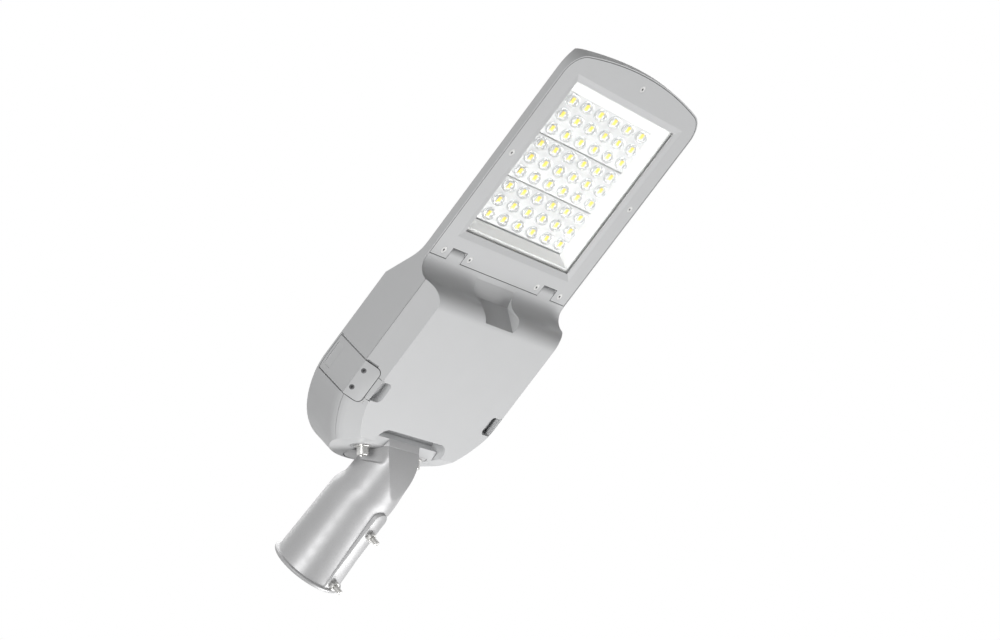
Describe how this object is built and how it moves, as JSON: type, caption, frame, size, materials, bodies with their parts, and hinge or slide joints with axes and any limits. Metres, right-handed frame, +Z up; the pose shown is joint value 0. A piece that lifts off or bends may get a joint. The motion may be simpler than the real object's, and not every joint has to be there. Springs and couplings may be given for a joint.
{
  "type": "led street light head",
  "caption": "Flat LED street light head with a side-latched driver cover that hinges down, and an angled adapter with a pole socket.",
  "frame": {"origin": "centre of the pole socket's mouth, on its axis", "axes": "+X from the pole to the far end of the lamp, +Y across the lamp, +Z up; the light leaves towards -Z"},
  "size_m": [0.629, 0.258, 0.1159],
  "materials": {
    "grey_paint": "light grey powder coat, satin",
    "adapter_paint": "light grey metallic paint on a die casting",
    "clear_glass": "clear toughened glass",
    "seal_rubber": "dark silicone",
    "white_plastic": "white, matt",
    "steel": "stainless steel",
    "dark_screw": "dark screws",
    "clear_lens": "clear moulded lenses",
    "board": "white coated circuit board",
    "phosphor": "yellow light emitting surface",
    "zinc_sheet": "plain sheet",
    "driver_case": "dark case",
    "black_plastic": "black"
  },
  "bodies": {
    "base": {"housing": "grey_paint", "hinge_pins": "steel", "led_frame": "grey_paint", "frame_screws": "steel", "frame_seal": "seal_rubber", "glass": "clear_glass", "glass_seal": "seal_rubber", "light_funnel": "white_plastic", "lens_module_1": "clear_lens", "lens_module_2": "clear_lens", "lens_module_3": "clear_lens", "led_board_1": "board", "led_board_2": "board", "led_board_3": "board", "led_chips": "phosphor", "adapter": "adapter_paint", "flange_washers": "steel", "flange_bolts": "steel", "set_screws": "steel", "lock_nuts": "steel", "gear_tray": "zinc_sheet", "tray_screws": "steel", "driver": "driver_case", "terminal_block": "black_plastic", "surge_protector": "driver_case", "cable_gland": "seal_rubber"},
    "cover": {"driver_cover": "grey_paint", "cover_seal": "seal_rubber", "left_latch_pin": "steel", "right_latch_pin": "steel"},
    "latch_left": {"left_latch": "grey_paint", "left_latch_screws": "dark_screw"},
    "latch_right": {"right_latch": "grey_paint", "right_latch_screws": "dark_screw"}
  },
  "joints": [
    {"name": "cover_hinge", "type": "hinge", "parent": "base", "child": "cover", "pos_m": [0.3745, 0, 0.0311], "axis": [0, -1, 0], "range_deg": [0, 78]},
    {"name": "left_latch_hinge", "type": "hinge", "parent": "cover", "child": "latch_left", "pos_m": [0.224, 0.1106, -0.0072], "axis": [-1, 0, 0], "range_deg": [0, 60]},
    {"name": "right_latch_hinge", "type": "hinge", "parent": "cover", "child": "latch_right", "pos_m": [0.224, -0.1106, -0.0072], "axis": [1, 0, 0], "range_deg": [0, 60]}
  ]
}
